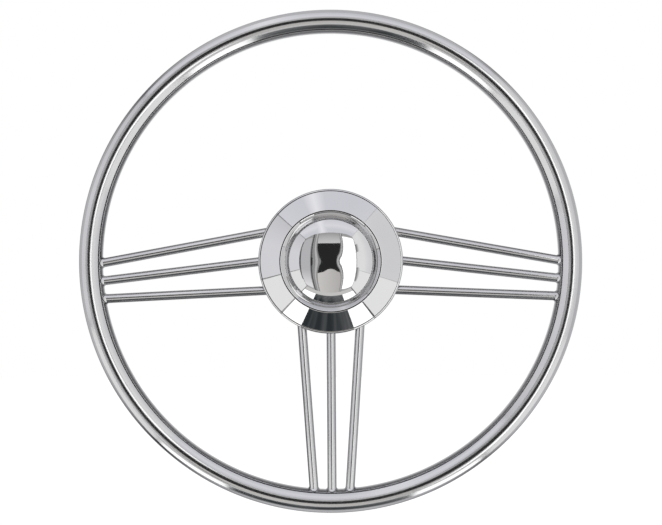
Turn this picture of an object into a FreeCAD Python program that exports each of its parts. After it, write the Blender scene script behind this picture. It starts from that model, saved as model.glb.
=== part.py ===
import FreeCAD, Part

import math
import os

# Stainless boat steering wheel, millimetres.
# The wheel turns about the Y axis and its front faces -Y, with +Z up as it is fitted.
# The origin is on the axis, in the rear face of the hub boss.
# "Forward" below is a distance ahead of that face, so a point lies at Y = -forward.

# Rim: one closed ring of oval tube, its long axis canted forwards and outwards
RIM_OUTSIDE_RADIUS = 200.0
RIM_TUBE_LONG = 19.6
RIM_TUBE_SHORT = 14.6
RIM_TUBE_CANT = 30.0
RIM_TUBE_WALL = 1.5

# Spokes: nine straight rods in three groups of three
SPOKE_DIAMETER = 7.4
SPOKE_RISE_ANGLE = 5.0
SPOKE_INNER_END_RADIUS = 38.0
SPOKE_WELD_FILLET = 1.6
SPOKE_RIM_ARC = 20.0
SPOKE_GROOVE_CLEARANCE = 0.03
SPOKE_SPREAD_AT_HUB = 23.3
SIDE_SPOKE_RIM_DROP = 14.4
SIDE_SPOKE_RIM_PITCH = 14.3
BOTTOM_SPOKE_RIM_PITCH = 14.4

# Spoke plate: a disc on the boss, grooved for the rods
PLATE_RADIUS = 50.0
PLATE_THICKNESS = 6.0
PLATE_EDGE_CHAMFER = 1.0

# Hub boss: turned, with a taper bore for the helm shaft and a recess for its nut
BOSS_LENGTH = 46.0
BOSS_RADIUS = 24.0
BOSS_REAR_RADIUS = 20.0
BOSS_REAR_CONE_LENGTH = 16.0
BOSS_FLANGE_RADIUS = 30.0
BOSS_FLANGE_THICKNESS = 4.0
BOSS_EDGE_CHAMFER = 1.0
BORE_LARGE_DIAMETER = 19.05
BORE_TAPER_RATIO = 12.0
KEYWAY_WIDTH = 4.76
KEYWAY_DEPTH = 2.4
NUT_RECESS_RADIUS = 14.5
NUT_RECESS_DEPTH = 10.0

# Hub cover: pressed sheet with a rolled edge, a cone, a ridge, an inner slope and a cup for the cap
COVER_RADIUS = 58.1
COVER_SHEET = 1.2
COVER_EDGE_ROLL = 1.35
COVER_EDGE_LAND = 0.65
COVER_EDGE_HEIGHT = 2.3
COVER_SPOKE_GAP = 0.3
COVER_CREASE_ROUND = 0.5
COVER_RIDGE_RADIUS = 40.2
COVER_RIDGE_LAND = 1.5
COVER_RIDGE_ROUND = 1.2
COVER_VALLEY_ANGLE = 47.0
COVER_VALLEY_RADIUS = 34.0
COVER_LEDGE_ROUND = 0.4
COVER_CUP_DEPTH = 5.0
COVER_CUP_RADIUS = 32.0
COVER_CUP_ROUND = 2.0
COVER_HOLE_RADIUS = 16.0
SHARPEST_BEND = 0.2

# Screws: three button heads that hold the cover on the boss, under the cap
SCREW_COUNT = 3
SCREW_DIAMETER = 4.0
SCREW_LENGTH = 9.0
SCREW_HEAD_DIAMETER = 7.6
SCREW_HEAD_HEIGHT = 2.2
SCREW_SOCKET_FLATS = 2.5
SCREW_SOCKET_DEPTH = 1.3
SCREW_CIRCLE_RADIUS = 20.5
SCREW_THREAD_CLEARANCE = 0.03
SCREW_HOLE_CLEARANCE = 0.25
SCREW_HOLE_SPARE_DEPTH = 1.5

# Centre cap: a shallow dome, a little fuller in its middle, whose skirt slides into the cover's cup
CAP_EDGE_GAP = 0.4
CAP_SHEET = 1.2
CAP_MIDDLE_ROUND = 82.0
CAP_MIDDLE_END_SLOPE = 4.4
CAP_FLAT_ROUND = 175.0
CAP_FLAT_END_SLOPE = 7.2
CAP_CROWN_ROUND = 125.0
CAP_CROWN_END_SLOPE = 13.4
CAP_SHOULDER_ROUND = 14.0
CAP_SIDE_SLOPE = 34.0
CAP_EDGE_ROUND = 0.8
CAP_EDGE_HEIGHT = 0.5
CAP_SKIRT_CLEARANCE = 0.2
CAP_SKIRT_WALL = 4.0
CAP_FLOOR_GAP = 1.6

# Cap ring: a rubber ring in a groove round the cap's skirt
RING_SECTION_DIAMETER = 1.8
RING_CUP_CLEARANCE = 0.08
RING_GROOVE_SIDE_CLEARANCE = 0.15
RING_GROOVE_FLOOR_CLEARANCE = 0.02
RING_FROM_SKIRT_END = 1.75

HEXAGON_SIDES = 6
FIX_PRECISION = 0.000001
FIX_LARGEST_TOLERANCE = 0.0001
ORIGIN = FreeCAD.Vector(0, 0, 0)
WHEEL_AXIS = FreeCAD.Vector(0, 1, 0)
OUTLINE_NORMAL = FreeCAD.Vector(0, 0, 1)
FORWARD = FreeCAD.Vector(0, -1, 0)

# Places that follow from the sizes
SPOKE_RADIUS = SPOKE_DIAMETER / 2
RISE = math.tan(math.radians(SPOKE_RISE_ANGLE))
CANT = math.radians(RIM_TUBE_CANT)
TUBE_LONG_HALF = RIM_TUBE_LONG / 2
TUBE_SHORT_HALF = RIM_TUBE_SHORT / 2
TUBE_HALF_WIDTH = math.hypot(TUBE_LONG_HALF * math.cos(CANT), TUBE_SHORT_HALF * math.sin(CANT))
TUBE_INNER_SETBACK = (
    (TUBE_LONG_HALF ** 2 - TUBE_SHORT_HALF ** 2) * math.sin(CANT) * math.cos(CANT) / TUBE_HALF_WIDTH
)
RIM_CENTRE_RADIUS = RIM_OUTSIDE_RADIUS - TUBE_HALF_WIDTH
RIM_INSIDE_RADIUS = RIM_CENTRE_RADIUS - TUBE_HALF_WIDTH

BOSS_FLANGE_BACK = BOSS_LENGTH - BOSS_FLANGE_THICKNESS
PLATE_FRONT = BOSS_FLANGE_BACK
PLATE_BACK = PLATE_FRONT - PLATE_THICKNESS
NUT_RECESS_FLOOR = BOSS_LENGTH - NUT_RECESS_DEPTH

CUP_FLOOR_BACK = BOSS_LENGTH
CUP_FLOOR_FRONT = CUP_FLOOR_BACK + COVER_SHEET


def forward_at(radius):
    """How far forward the middle of a spoke's end lies, at a distance from the wheel's axis."""
    return PLATE_FRONT + (radius - PLATE_RADIUS) * RISE


RIM_FORWARD = forward_at(RIM_INSIDE_RADIUS) + TUBE_INNER_SETBACK


# Small helpers

def at(radius, forward):
    """A point of a turned outline, in the plane of X and Y."""
    return FreeCAD.Vector(radius, -forward, 0)


def straight(start, end):
    return Part.LineSegment(start, end).toShape()


def chain(points):
    """The straight edges that join a row of points."""
    return [straight(a, b) for a, b in zip(points, points[1:])]


def round_arc(centre, radius, from_slope, to_slope):
    """An arc of a turned outline, between two slopes measured from a plane square to the axis."""
    angles = [from_slope, (from_slope + to_slope) / 2, to_slope]
    points = []
    for angle in angles:
        turn = math.radians(angle)
        points.append(at(centre[0] + radius * math.sin(turn), centre[1] + radius * math.cos(turn)))
    return Part.Arc(points[0], points[1], points[2]).toShape()


def turned(edges):
    """The solid that a closed outline sweeps about the wheel's axis."""
    outline = Part.Wire(Part.__sortEdges__(edges))
    return Part.Face(outline).revolve(ORIGIN, WHEEL_AXIS, 360)


def rounded(points, radii):
    """A wire through corner points, each inner corner rounded to its radius."""
    edges = []
    start = points[0]
    for before, corner, after, radius in zip(points, points[1:], points[2:], radii):
        back = (before - corner).normalize()
        ahead = (after - corner).normalize()
        half_angle = back.getAngle(ahead) / 2
        reach = radius / math.tan(half_angle)
        middle = (back + ahead).normalize()
        centre = corner + middle * (radius / math.sin(half_angle))
        first = corner + back * reach
        last = corner + ahead * reach
        edges.append(straight(start, first))
        edges.append(Part.Arc(first, centre - middle * radius, last).toShape())
        start = last
    edges.append(straight(start, points[-1]))
    return Part.Wire(edges)


def behind(points, thickness):
    """The corners of a sheet's back, where the points are those of its front from inside to outside."""
    steps = [(b - a).normalize() for a, b in zip(points, points[1:])]
    squares = [OUTLINE_NORMAL.cross(step) * thickness for step in steps]
    backs = [points[0] + squares[0]]
    for corner, before, after in zip(points[1:], squares, squares[1:]):
        reach = thickness ** 2 / (thickness ** 2 + before.dot(after))
        backs.append(corner + (before + after) * reach)
    backs.append(points[-1] + squares[-1])
    return backs


def rod(start, end, radius):
    direction = end - start
    return Part.makeCylinder(radius, direction.Length, start, direction)


# Rim

def tube_ring(long_half, short_half, start=90, sweep=360):
    """A ring or arc of oval tube, canted forwards and outwards, swept clockwise from an angle above +X."""
    section = Part.Ellipse(ORIGIN, long_half, short_half).toShape()
    section.rotate(ORIGIN, FreeCAD.Vector(0, 0, 1), -RIM_TUBE_CANT)
    section.translate(at(RIM_CENTRE_RADIUS, RIM_FORWARD))
    section.rotate(ORIGIN, WHEEL_AXIS, -start)
    return Part.Face(Part.Wire(section)).revolve(ORIGIN, WHEEL_AXIS, sweep)


def rim_tube():
    hollow = tube_ring(TUBE_LONG_HALF - RIM_TUBE_WALL, TUBE_SHORT_HALF - RIM_TUBE_WALL)
    return tube_ring(TUBE_LONG_HALF, TUBE_SHORT_HALF).cut(hollow)


# Spokes

def spoke_lines():
    """Names of the nine spokes, with two points of each centreline as seen from the front."""
    hub_reach = math.sqrt(COVER_RADIUS ** 2 - SPOKE_SPREAD_AT_HUB ** 2)
    lines = {}
    for side, sign in (("left", -1), ("right", 1)):
        for place, step in (("upper", 1), ("middle", 0), ("lower", -1)):
            reach = COVER_RADIUS if step == 0 else hub_reach
            rim_height = step * SIDE_SPOKE_RIM_PITCH - SIDE_SPOKE_RIM_DROP
            rim_reach = math.sqrt(RIM_INSIDE_RADIUS ** 2 - rim_height ** 2)
            hub_point = (sign * reach, step * SPOKE_SPREAD_AT_HUB)
            lines["spoke_" + side + "_" + place] = (hub_point, (sign * rim_reach, rim_height))
    for place, step in (("left", -1), ("middle", 0), ("right", 1)):
        reach = COVER_RADIUS if step == 0 else hub_reach
        rim_side = step * BOTTOM_SPOKE_RIM_PITCH
        rim_reach = math.sqrt(RIM_INSIDE_RADIUS ** 2 - rim_side ** 2)
        hub_point = (step * SPOKE_SPREAD_AT_HUB, -reach)
        lines["spoke_bottom_" + place] = (hub_point, (rim_side, -rim_reach))
    return lines


def place_at_radius(line, radius):
    """X and Z where a spoke's line, as seen from the front, lies at a distance from the axis."""
    (hub_x, hub_z), (rim_x, rim_z) = line
    step_x = rim_x - hub_x
    step_z = rim_z - hub_z
    square = step_x ** 2 + step_z ** 2
    half = hub_x * step_x + hub_z * step_z
    rest = hub_x ** 2 + hub_z ** 2 - radius ** 2
    along = (-half + math.sqrt(half ** 2 - square * rest)) / square
    return hub_x + along * step_x, hub_z + along * step_z


def spoke_ends(line):
    """The two ends of a spoke's centreline: in its groove, and on the inside of the rim."""
    ends = []
    for radius in (SPOKE_INNER_END_RADIUS, RIM_INSIDE_RADIUS):
        x, z = place_at_radius(line, radius)
        ends.append(FreeCAD.Vector(x, -forward_at(radius), z))
    return ends


def spoke_crest_at(line, radius):
    """How far forward the front of a spoke reaches where it passes a distance from the axis."""
    inner, outer = spoke_ends(line)
    x, z = place_at_radius(line, radius)
    passed = math.hypot(x - inner.x, z - inner.z) / math.hypot(outer.x - inner.x, outer.z - inner.z)
    middle = inner + (outer - inner) * passed
    return -middle.y + SPOKE_RADIUS / math.cos(math.radians(SPOKE_RISE_ANGLE))


def spoke(line):
    """A straight rod from its groove to the rim, where a polished weld fillet seats it on the tube."""
    inner, outer = spoke_ends(line)
    beyond = outer + (outer - inner).normalize() * TUBE_HALF_WIDTH
    angle = math.degrees(math.atan2(outer.z, outer.x))
    rim_arc = tube_ring(TUBE_LONG_HALF, TUBE_SHORT_HALF, angle + SPOKE_RIM_ARC / 2, SPOKE_RIM_ARC)
    joined = rod(inner, beyond, SPOKE_RADIUS).fuse(rim_arc)
    seam = [edge for edge in joined.Edges if is_weld_seam(edge, outer)]
    welded = joined.makeFillet(SPOKE_WELD_FILLET, seam)
    shell = Part.Shell([face for face in welded.Faces if is_rod_face(face, inner)] + [seat_on_tube(welded)])
    shell.sewShape()
    solid = Part.Solid(shell)
    solid.fix(FIX_PRECISION, FIX_PRECISION, FIX_LARGEST_TOLERANCE)
    return solid


def is_weld_seam(edge, outer):
    """True for the curved edges where a rod enters the rim."""
    middle = edge.valueAt((edge.FirstParameter + edge.LastParameter) / 2)
    return not isinstance(edge.Curve, Part.Line) and middle.distanceToPoint(outer) < SPOKE_DIAMETER


def is_rod_face(face, inner):
    """True for a welded rod's own faces, and not for those of the arc of tube behind it."""
    if isinstance(face.Surface, Part.Plane):
        return face.CenterOfMass.distanceToPoint(inner) < SPOKE_DIAMETER
    return not isinstance(face.Surface, Part.SurfaceOfRevolution)


def seat_on_tube(welded):
    """The patch of the tube's surface that a weld covers, bounded by the weld's outer edge."""
    tube_faces = [face for face in welded.Faces if isinstance(face.Surface, Part.SurfaceOfRevolution)]
    inside_face = max(tube_faces, key=lambda face: len(face.Wires))
    footprint = min(inside_face.Wires, key=lambda wire: wire.Length)
    seat = Part.Face(inside_face.Surface, footprint)
    seat.validate()
    return seat


def groove(line):
    """The space that a rod takes out of the spoke plate, open at the plate's edge."""
    inner, outer = spoke_ends(line)
    return rod(inner, outer, SPOKE_RADIUS + SPOKE_GROOVE_CLEARANCE)


# Hub

def spoke_plate():
    corners = [
        at(BOSS_RADIUS, PLATE_FRONT),
        at(BOSS_RADIUS, PLATE_BACK),
        at(PLATE_RADIUS - PLATE_EDGE_CHAMFER, PLATE_BACK),
        at(PLATE_RADIUS, PLATE_BACK + PLATE_EDGE_CHAMFER),
        at(PLATE_RADIUS, PLATE_FRONT),
        at(BOSS_RADIUS, PLATE_FRONT),
    ]
    plate = turned(chain(corners))
    return plate.cut([groove(line) for line in SPOKE_LINES.values()])


def hub_boss():
    bore_radius = BORE_LARGE_DIAMETER / 2
    bore_small_radius = bore_radius - NUT_RECESS_FLOOR / (2 * BORE_TAPER_RATIO)
    corners = [
        at(bore_radius, 0),
        at(BOSS_REAR_RADIUS - BOSS_EDGE_CHAMFER, 0),
        at(BOSS_REAR_RADIUS, BOSS_EDGE_CHAMFER),
        at(BOSS_RADIUS, BOSS_REAR_CONE_LENGTH),
        at(BOSS_RADIUS, BOSS_FLANGE_BACK),
        at(BOSS_FLANGE_RADIUS, BOSS_FLANGE_BACK),
        at(BOSS_FLANGE_RADIUS, BOSS_LENGTH),
        at(NUT_RECESS_RADIUS, BOSS_LENGTH),
        at(NUT_RECESS_RADIUS, NUT_RECESS_FLOOR),
        at(bore_small_radius, NUT_RECESS_FLOOR),
        at(bore_radius, 0),
    ]
    boss = turned(chain(corners))
    keyway = Part.makeBox(
        KEYWAY_WIDTH,
        NUT_RECESS_FLOOR,
        bore_radius + KEYWAY_DEPTH,
        FreeCAD.Vector(-KEYWAY_WIDTH / 2, -NUT_RECESS_FLOOR, 0),
    )
    hole_radius = SCREW_DIAMETER / 2 + SCREW_THREAD_CLEARANCE
    hole_floor = CUP_FLOOR_FRONT - SCREW_LENGTH - SCREW_HOLE_SPARE_DEPTH
    return boss.cut([keyway] + at_screws(screw_bar(hole_radius, hole_floor, BOSS_LENGTH)))


# Screws

def screw_bar(radius, back, front):
    """A round bar along the axis of the first screw."""
    base = FreeCAD.Vector(0, -back, SCREW_CIRCLE_RADIUS)
    return Part.makeCylinder(radius, front - back, base, FORWARD)


def at_screws(shape):
    """Copies of a shape at each screw's place round the hub."""
    copies = []
    for index in range(SCREW_COUNT):
        copy = shape.copy()
        copy.rotate(ORIGIN, WHEEL_AXIS, index * 360 / SCREW_COUNT)
        copies.append(copy)
    return copies


def cover_screw():
    head_front = CUP_FLOOR_FRONT + SCREW_HEAD_HEIGHT
    head = screw_bar(SCREW_HEAD_DIAMETER / 2, CUP_FLOOR_FRONT, head_front)
    front_edge = [edge for edge in head.Edges if edge.BoundBox.YMax < -head_front + 0.01]
    head = head.makeFillet(SCREW_HEAD_HEIGHT / 2, front_edge)
    shank = screw_bar(SCREW_DIAMETER / 2, CUP_FLOOR_FRONT - SCREW_LENGTH, CUP_FLOOR_FRONT)
    return head.fuse(shank).removeSplitter().cut(hexagon_socket(head_front))


def hexagon_socket(mouth_forward):
    """The six-sided hole for the key in a screw's head."""
    to_corner = SCREW_SOCKET_FLATS / math.sqrt(3)
    corners = []
    for corner in range(HEXAGON_SIDES + 1):
        turn = 2 * math.pi * corner / HEXAGON_SIDES
        x = to_corner * math.cos(turn)
        z = SCREW_CIRCLE_RADIUS + to_corner * math.sin(turn)
        corners.append(FreeCAD.Vector(x, -mouth_forward, z))
    return Part.Face(Part.makePolygon(corners)).extrude(-FORWARD * SCREW_SOCKET_DEPTH)


# Places of the cover, the cap and its ring, which stand on the spokes and the boss

SPOKE_LINES = spoke_lines()
COVER_EDGE_BACK = COVER_SPOKE_GAP + max(spoke_crest_at(line, COVER_RADIUS) for line in SPOKE_LINES.values())
COVER_EDGE_FRONT = COVER_EDGE_BACK + COVER_EDGE_HEIGHT
COVER_CREASE_RADIUS = COVER_RADIUS - COVER_EDGE_ROLL - COVER_EDGE_LAND
COVER_RIDGE_INSIDE = COVER_RIDGE_RADIUS - COVER_RIDGE_LAND / 2
COVER_RIDGE_OUTSIDE = COVER_RIDGE_RADIUS + COVER_RIDGE_LAND / 2
COVER_LEDGE_FORWARD = CUP_FLOOR_FRONT + COVER_CUP_DEPTH
COVER_VALLEY_FALL = math.tan(math.radians(COVER_VALLEY_ANGLE))
COVER_RIDGE_FORWARD = COVER_LEDGE_FORWARD + (COVER_RIDGE_INSIDE - COVER_VALLEY_RADIUS) * COVER_VALLEY_FALL
CAP_RADIUS = COVER_VALLEY_RADIUS - CAP_EDGE_GAP
CAP_SKIRT_RADIUS = COVER_CUP_RADIUS - CAP_SKIRT_CLEARANCE
CAP_SKIRT_INSIDE = CAP_SKIRT_RADIUS - CAP_SKIRT_WALL
CAP_SKIRT_END = CUP_FLOOR_FRONT + CAP_FLOOR_GAP
RING_RADIUS = COVER_CUP_RADIUS - RING_CUP_CLEARANCE - RING_SECTION_DIAMETER / 2
RING_FORWARD = CAP_SKIRT_END + RING_FROM_SKIRT_END


# Cover

def hub_cover():
    """Pressed sheet, drawn as its front from the cup's hole to the rolled edge, and its back behind it."""
    front = [
        at(COVER_HOLE_RADIUS, CUP_FLOOR_FRONT),
        at(COVER_CUP_RADIUS, CUP_FLOOR_FRONT),
        at(COVER_CUP_RADIUS, COVER_LEDGE_FORWARD),
        at(COVER_VALLEY_RADIUS, COVER_LEDGE_FORWARD),
        at(COVER_RIDGE_INSIDE, COVER_RIDGE_FORWARD),
        at(COVER_RIDGE_OUTSIDE, COVER_RIDGE_FORWARD),
        at(COVER_CREASE_RADIUS, COVER_EDGE_FRONT),
        at(COVER_RADIUS, COVER_EDGE_FRONT),
        at(COVER_RADIUS, COVER_EDGE_BACK),
    ]
    front_rounds = [
        COVER_CUP_ROUND,
        COVER_LEDGE_ROUND,
        COVER_LEDGE_ROUND,
        COVER_RIDGE_ROUND,
        COVER_RIDGE_ROUND,
        COVER_CREASE_ROUND,
        COVER_EDGE_ROLL,
    ]
    bends_away = [False, True, False, True, True, False, True]
    back_rounds = []
    for front_round, away in zip(front_rounds, bends_away):
        back_round = front_round - COVER_SHEET if away else front_round + COVER_SHEET
        back_rounds.append(max(back_round, SHARPEST_BEND))
    back = behind(front, COVER_SHEET)
    edges = rounded(front, front_rounds).Edges + rounded(back, back_rounds).Edges
    edges.append(straight(front[0], back[0]))
    edges.append(straight(front[-1], back[-1]))
    hole_radius = SCREW_DIAMETER / 2 + SCREW_HOLE_CLEARANCE
    return turned(edges).cut(at_screws(screw_bar(hole_radius, CUP_FLOOR_BACK, CUP_FLOOR_FRONT)))


# Centre cap

def cap_outline(inset):
    """Edges of the dome from its top to its straight side, set in by a distance from the front."""
    bends = [
        (CAP_MIDDLE_ROUND, CAP_MIDDLE_END_SLOPE),
        (CAP_FLAT_ROUND, CAP_FLAT_END_SLOPE),
        (CAP_CROWN_ROUND, CAP_CROWN_END_SLOPE),
        (CAP_SHOULDER_ROUND, CAP_SIDE_SLOPE),
    ]
    side_turn = math.radians(CAP_SIDE_SLOPE)
    edge_centre_forward = COVER_LEDGE_FORWARD + CAP_EDGE_HEIGHT
    side_end_radius = CAP_RADIUS - CAP_EDGE_ROUND * (1 - math.sin(side_turn))
    side_end_forward = edge_centre_forward + CAP_EDGE_ROUND * math.cos(side_turn)
    centre_radius, centre_forward = 0, -CAP_MIDDLE_ROUND
    centres = []
    for (bend, end_slope), (next_bend, _) in zip(bends, bends[1:] + [(0, 0)]):
        centres.append((centre_radius, centre_forward))
        turn = math.radians(end_slope)
        centre_radius += (bend - next_bend) * math.sin(turn)
        centre_forward += (bend - next_bend) * math.cos(turn)
    side_start_radius, side_start_drop = centre_radius, centre_forward
    side_start_forward = side_end_forward + (side_end_radius - side_start_radius) * math.tan(side_turn)
    top_forward = side_start_forward - side_start_drop
    arcs = []
    start_slope = 0
    for (radius, drop), (bend, end_slope) in zip(centres, bends):
        arcs.append(round_arc((radius, top_forward + drop), bend - inset, start_slope, end_slope))
        start_slope = end_slope
    side_start = at(
        side_start_radius - inset * math.sin(side_turn),
        side_start_forward - inset * math.cos(side_turn),
    )
    return arcs, at(0, top_forward - inset), side_start, edge_centre_forward


def centre_cap():
    side_turn = math.radians(CAP_SIDE_SLOPE)
    front_arcs, front_top, front_side, edge_forward = cap_outline(0)
    back_arcs, back_top, back_side, _ = cap_outline(CAP_SHEET)
    edge_centre = (CAP_RADIUS - CAP_EDGE_ROUND, edge_forward)
    edge_round = round_arc(edge_centre, CAP_EDGE_ROUND, CAP_SIDE_SLOPE, 90)
    edge_start = at(
        edge_centre[0] + CAP_EDGE_ROUND * math.sin(side_turn),
        edge_forward + CAP_EDGE_ROUND * math.cos(side_turn),
    )
    back_side_forward = -back_side.y - (CAP_SKIRT_INSIDE - back_side.x) * math.tan(side_turn)
    groove_half = RING_SECTION_DIAMETER / 2 + RING_GROOVE_SIDE_CLEARANCE
    groove_floor = RING_RADIUS - RING_SECTION_DIAMETER / 2 - RING_GROOVE_FLOOR_CLEARANCE
    skirt = [
        at(CAP_RADIUS, edge_forward),
        at(CAP_RADIUS, COVER_LEDGE_FORWARD),
        at(CAP_SKIRT_RADIUS, COVER_LEDGE_FORWARD),
        at(CAP_SKIRT_RADIUS, RING_FORWARD + groove_half),
        at(groove_floor, RING_FORWARD + groove_half),
        at(groove_floor, RING_FORWARD - groove_half),
        at(CAP_SKIRT_RADIUS, RING_FORWARD - groove_half),
        at(CAP_SKIRT_RADIUS, CAP_SKIRT_END),
        at(CAP_SKIRT_INSIDE, CAP_SKIRT_END),
        at(CAP_SKIRT_INSIDE, back_side_forward),
        back_side,
    ]
    edges = front_arcs + [straight(front_side, edge_start), edge_round] + chain(skirt) + back_arcs
    edges.append(straight(back_top, front_top))
    return turned(edges)


def cap_ring():
    return Part.makeTorus(RING_RADIUS, RING_SECTION_DIAMETER / 2, at(0, RING_FORWARD), WHEEL_AXIS)


# All the pieces, each in its own file

def pieces():
    nodes = {name: spoke(line) for name, line in SPOKE_LINES.items()}
    nodes["rim_tube"] = rim_tube()
    nodes["spoke_plate"] = spoke_plate()
    nodes["hub_boss"] = hub_boss()
    nodes["hub_cover"] = hub_cover()
    nodes["cover_screws"] = Part.makeCompound(at_screws(cover_screw()))
    nodes["centre_cap"] = centre_cap()
    nodes["cap_ring"] = cap_ring()
    return nodes


os.makedirs("parts", exist_ok=True)
for name, shape in pieces().items():
    print(name, shape.ShapeType, len(shape.Solids), round(shape.Volume / 1000, 2), "cm3", shape.isValid())
    shape.exportStep("parts/" + name + ".step")
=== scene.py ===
import math

import bmesh
import bpy
from bpy.props import FloatProperty, FloatVectorProperty, IntProperty, PointerProperty
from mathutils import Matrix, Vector


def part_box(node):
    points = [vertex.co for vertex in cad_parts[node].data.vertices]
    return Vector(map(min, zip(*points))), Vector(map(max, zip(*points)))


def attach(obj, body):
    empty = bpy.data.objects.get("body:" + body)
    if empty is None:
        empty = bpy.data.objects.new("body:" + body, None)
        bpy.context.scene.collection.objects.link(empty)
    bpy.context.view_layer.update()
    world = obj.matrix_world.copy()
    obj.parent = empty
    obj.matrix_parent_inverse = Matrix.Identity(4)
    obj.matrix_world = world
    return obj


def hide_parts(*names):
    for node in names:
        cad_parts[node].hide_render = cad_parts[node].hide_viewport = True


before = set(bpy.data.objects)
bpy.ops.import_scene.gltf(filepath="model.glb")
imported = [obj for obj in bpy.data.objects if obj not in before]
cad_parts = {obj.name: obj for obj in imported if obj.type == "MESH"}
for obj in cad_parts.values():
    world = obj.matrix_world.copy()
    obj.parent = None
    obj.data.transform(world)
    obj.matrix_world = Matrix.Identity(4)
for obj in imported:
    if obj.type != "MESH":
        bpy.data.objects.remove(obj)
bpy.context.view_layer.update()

# Stainless boat steering wheel, in metres.
# The wheel turns about the Y axis and its front faces -Y, with +Z up as it is fitted.
# "Forward" below is a distance ahead of the hub's rear face, so a point lies at Y = -forward.

bl_info = {
    "name": "Boat Steering Wheel",
    "version": (1, 0, 0),
    "blender": (4, 5, 0),
    "location": "View3D > Sidebar > Steering Wheel",
    "description": "Polished stainless boat steering wheel, built round its packed model",
    "category": "Object",
}

# The photograph's frame
PHOTO_WIDTH = 662
SENSOR_WIDTH = 36.0

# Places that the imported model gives
RIM_LOW, RIM_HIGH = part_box("rim_tube")
PLATE_LOW, PLATE_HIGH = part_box("spoke_plate")
COVER_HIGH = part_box("hub_cover")[1]
CAP_LOW, CAP_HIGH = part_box("centre_cap")
RING_LOW, RING_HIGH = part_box("cap_ring")

# Angles, distances and steps of the modelling
FULL_TURN = 2 * math.pi
QUARTER_TURN = math.pi / 2
MERGE_DISTANCE = 0.000002
SMOOTH_ANGLE = math.radians(35)
HOLDING_DISTANCE = 0.00025
PIN_SIZE = 0.001
BEND_STEPS = 12
HUB_STEPS = 256
DOME_STEPS = 90
REACH_HALVINGS = 32
RING_TURN_STEPS = 160
RING_SECTION_SIDES = 24
ORIGIN = Vector((0, 0, 0))
WHEEL_AXIS = Vector((0, 1, 0))


# Sizes and colours that a user would change

def length_setting(name, description, default):
    return FloatProperty(name=name, description=description, default=default, unit="LENGTH")


def angle_setting(name, description, degrees):
    return FloatProperty(
        name=name, description=description, default=math.radians(degrees), subtype="ANGLE"
    )


def count_setting(name, description, default):
    return IntProperty(name=name, description=description, default=default)


def colour_setting(name, description, default):
    return FloatVectorProperty(name=name, description=description, default=default, subtype="COLOR")


class RimSizes(bpy.types.PropertyGroup):
    tube_long: length_setting("Tube Long Width", "Width of the oval tube along its long axis", 0.0196)
    tube_short: length_setting(
        "Tube Short Width", "Width of the oval tube along its short axis", 0.0146
    )
    tube_cant: angle_setting(
        "Tube Cant", "Angle by which the long axis leans forwards from the plane of the rim", 30
    )
    section_sides: count_setting("Section Sides", "Number of points round the tube's section", 72)
    turn_steps: count_setting("Turn Steps", "Number of steps round the wheel", 360)


class SpokeSizes(bpy.types.PropertyGroup):
    diameter: length_setting("Rod Diameter", "Thickness of each rod", 0.0074)
    rise_angle: angle_setting("Rise", "Angle by which the rods run forwards from the hub to the rim", 5)
    inner_end_radius: length_setting(
        "Inner End Radius", "Distance of the rods' inner ends from the wheel's axis", 0.038
    )
    weld_fillet: length_setting(
        "Weld Fillet", "Radius of the polished weld where a rod meets the rim", 0.0016
    )
    spread_at_hub: length_setting(
        "Spread at the Hub",
        "Distance between neighbouring rods of a group where they leave the cover",
        0.0233,
    )
    side_drop: length_setting(
        "Side Drop", "Height by which the side groups' middle rods meet the rim below the axis", 0.0144
    )
    side_pitch: length_setting(
        "Side Pitch at the Rim", "Distance between neighbouring rods of a side group at the rim", 0.0143
    )
    bottom_pitch: length_setting(
        "Bottom Pitch at the Rim",
        "Distance between neighbouring rods of the bottom group at the rim",
        0.0144,
    )
    sides: count_setting("Rod Sides", "Number of points round each rod", 64)


class CoverSizes(bpy.types.PropertyGroup):
    sheet: length_setting("Sheet", "Thickness of the cover's sheet", 0.0012)
    edge_roll: length_setting("Edge Roll", "Radius of the rolled edge", 0.00135)
    edge_land: length_setting(
        "Edge Land", "Width of the flat land between the cone and the rolled edge", 0.00065
    )
    edge_height: length_setting(
        "Edge Height", "Height of the rolled edge above the cover's rim", 0.0023
    )
    crease_round: length_setting("Crease Rounding", "Radius where the cone meets the land", 0.0005)
    ridge_radius: length_setting("Ridge Radius", "Distance of the ridge from the wheel's axis", 0.0402)
    ridge_land: length_setting(
        "Ridge Land", "Width of the ridge between the cone and the inner slope", 0.0015
    )
    ridge_round: length_setting("Ridge Rounding", "Radius of each side of the ridge", 0.0012)
    valley_angle: angle_setting("Inner Slope", "Slope from the ridge down to the cap", 52.2)
    valley_radius: length_setting(
        "Valley Radius", "Distance from the axis where the inner slope ends beside the cap", 0.0341
    )
    foot_round: length_setting(
        "Foot Rounding",
        "Radius of the hollow where the inner slope meets the ledge beside the cap",
        0.0004,
    )
    mouth_round: length_setting("Mouth Rounding", "Radius of the cup's mouth", 0.0004)
    cup_depth: length_setting("Cup Depth", "Depth of the cup that takes the cap's skirt", 0.00391)
    cup_radius: length_setting("Cup Radius", "Inside radius of the cup", 0.032)
    cup_round: length_setting("Cup Rounding", "Radius between the cup's wall and its floor", 0.002)
    hole_radius: length_setting(
        "Hole Radius", "Radius of the hole in the cup's floor, for the shaft nut", 0.016
    )


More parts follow.
